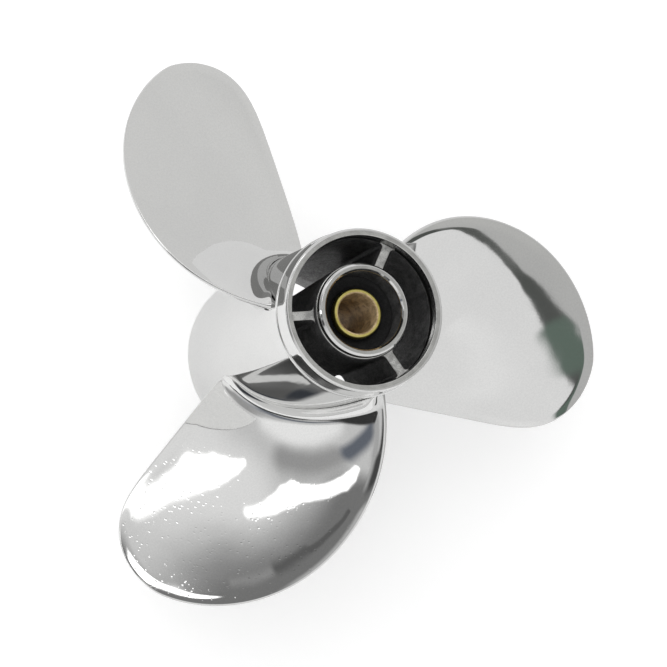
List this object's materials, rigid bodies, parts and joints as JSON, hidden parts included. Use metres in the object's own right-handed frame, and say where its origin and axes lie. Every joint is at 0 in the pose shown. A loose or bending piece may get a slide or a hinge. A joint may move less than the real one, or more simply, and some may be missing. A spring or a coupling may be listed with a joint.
{
  "type": "outboard motor propeller",
  "caption": "Right-hand stainless steel outboard propeller with skewed round-eared blades on a through-hub exhaust barrel, rubber bush and splined brass sleeve.",
  "frame": {"origin": "on the shaft axis, in the plane of the hub barrel's front rim", "axes": "+Z along the shaft axis, astern, towards the exhaust end; +X along the middle of blade_1; the hub's front rim stands on z = 0"},
  "size_m": [0.1992, 0.2113, 0.112],
  "materials": {
    "polished_stainless": "polished",
    "satin_stainless": "satin",
    "black_rubber": "matte",
    "yellow_brass": "satin"
  },
  "bodies": {
    "root": {"hub_barrel": "polished_stainless", "exhaust_ring": "polished_stainless", "blade_1": "polished_stainless", "blade_2": "polished_stainless", "blade_3": "polished_stainless", "inner_hub": "satin_stainless", "rib_1": "satin_stainless", "rib_2": "satin_stainless", "rib_3": "satin_stainless", "rubber_bush": "black_rubber", "splined_sleeve": "yellow_brass"}
  },
  "joints": []
}
